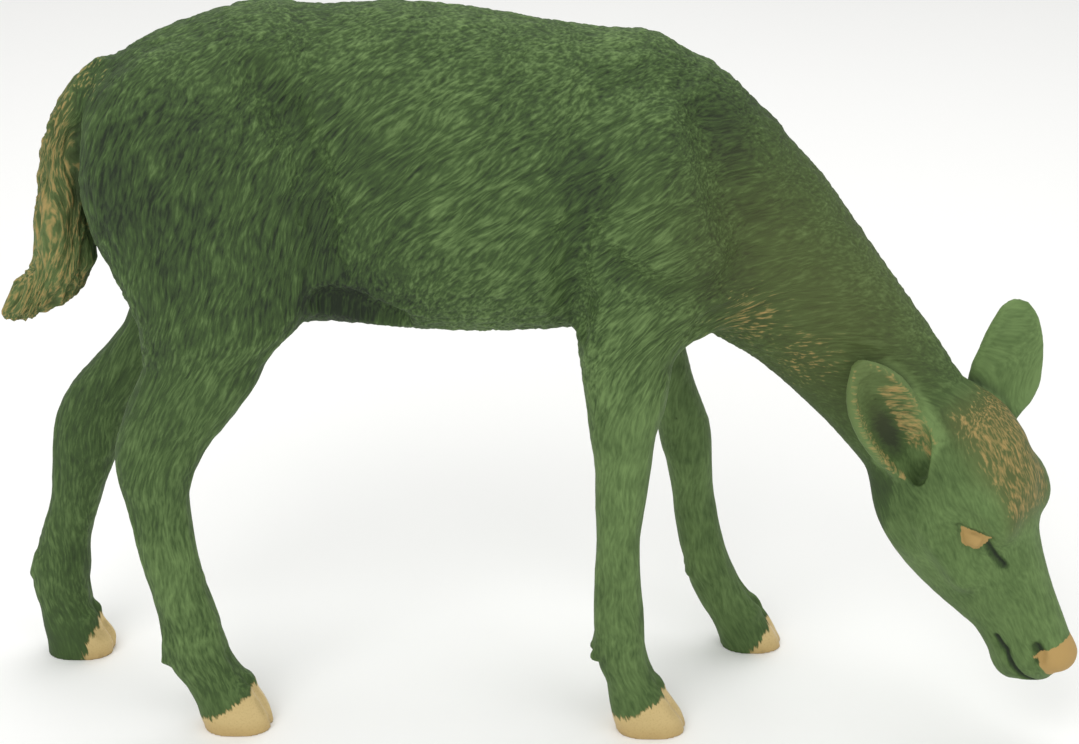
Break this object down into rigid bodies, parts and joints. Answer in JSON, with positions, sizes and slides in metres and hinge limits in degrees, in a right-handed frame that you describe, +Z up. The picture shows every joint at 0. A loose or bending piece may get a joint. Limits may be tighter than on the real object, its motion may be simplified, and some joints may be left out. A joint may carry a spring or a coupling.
{
  "type": "deer statue",
  "caption": "Standing deer statue with its head lowered to graze, cast in painted resin with carved fur, resting on its own four hooves.",
  "frame": {"origin": "on the floor, at the centre of the deer's length and width", "axes": "+X towards the head end, +Z up, -Y the side that the head is turned to"},
  "size_m": [0.6298, 0.1474, 0.4305],
  "materials": {
    "painted_resin": "cast polyresin with carved fur, matt moss-green paint with darker hollows and a dry-brushed dull gold on hooves, tail, crown and ear rims"
  },
  "bodies": {
    "root": {"deer": "painted_resin"}
  },
  "joints": []
}
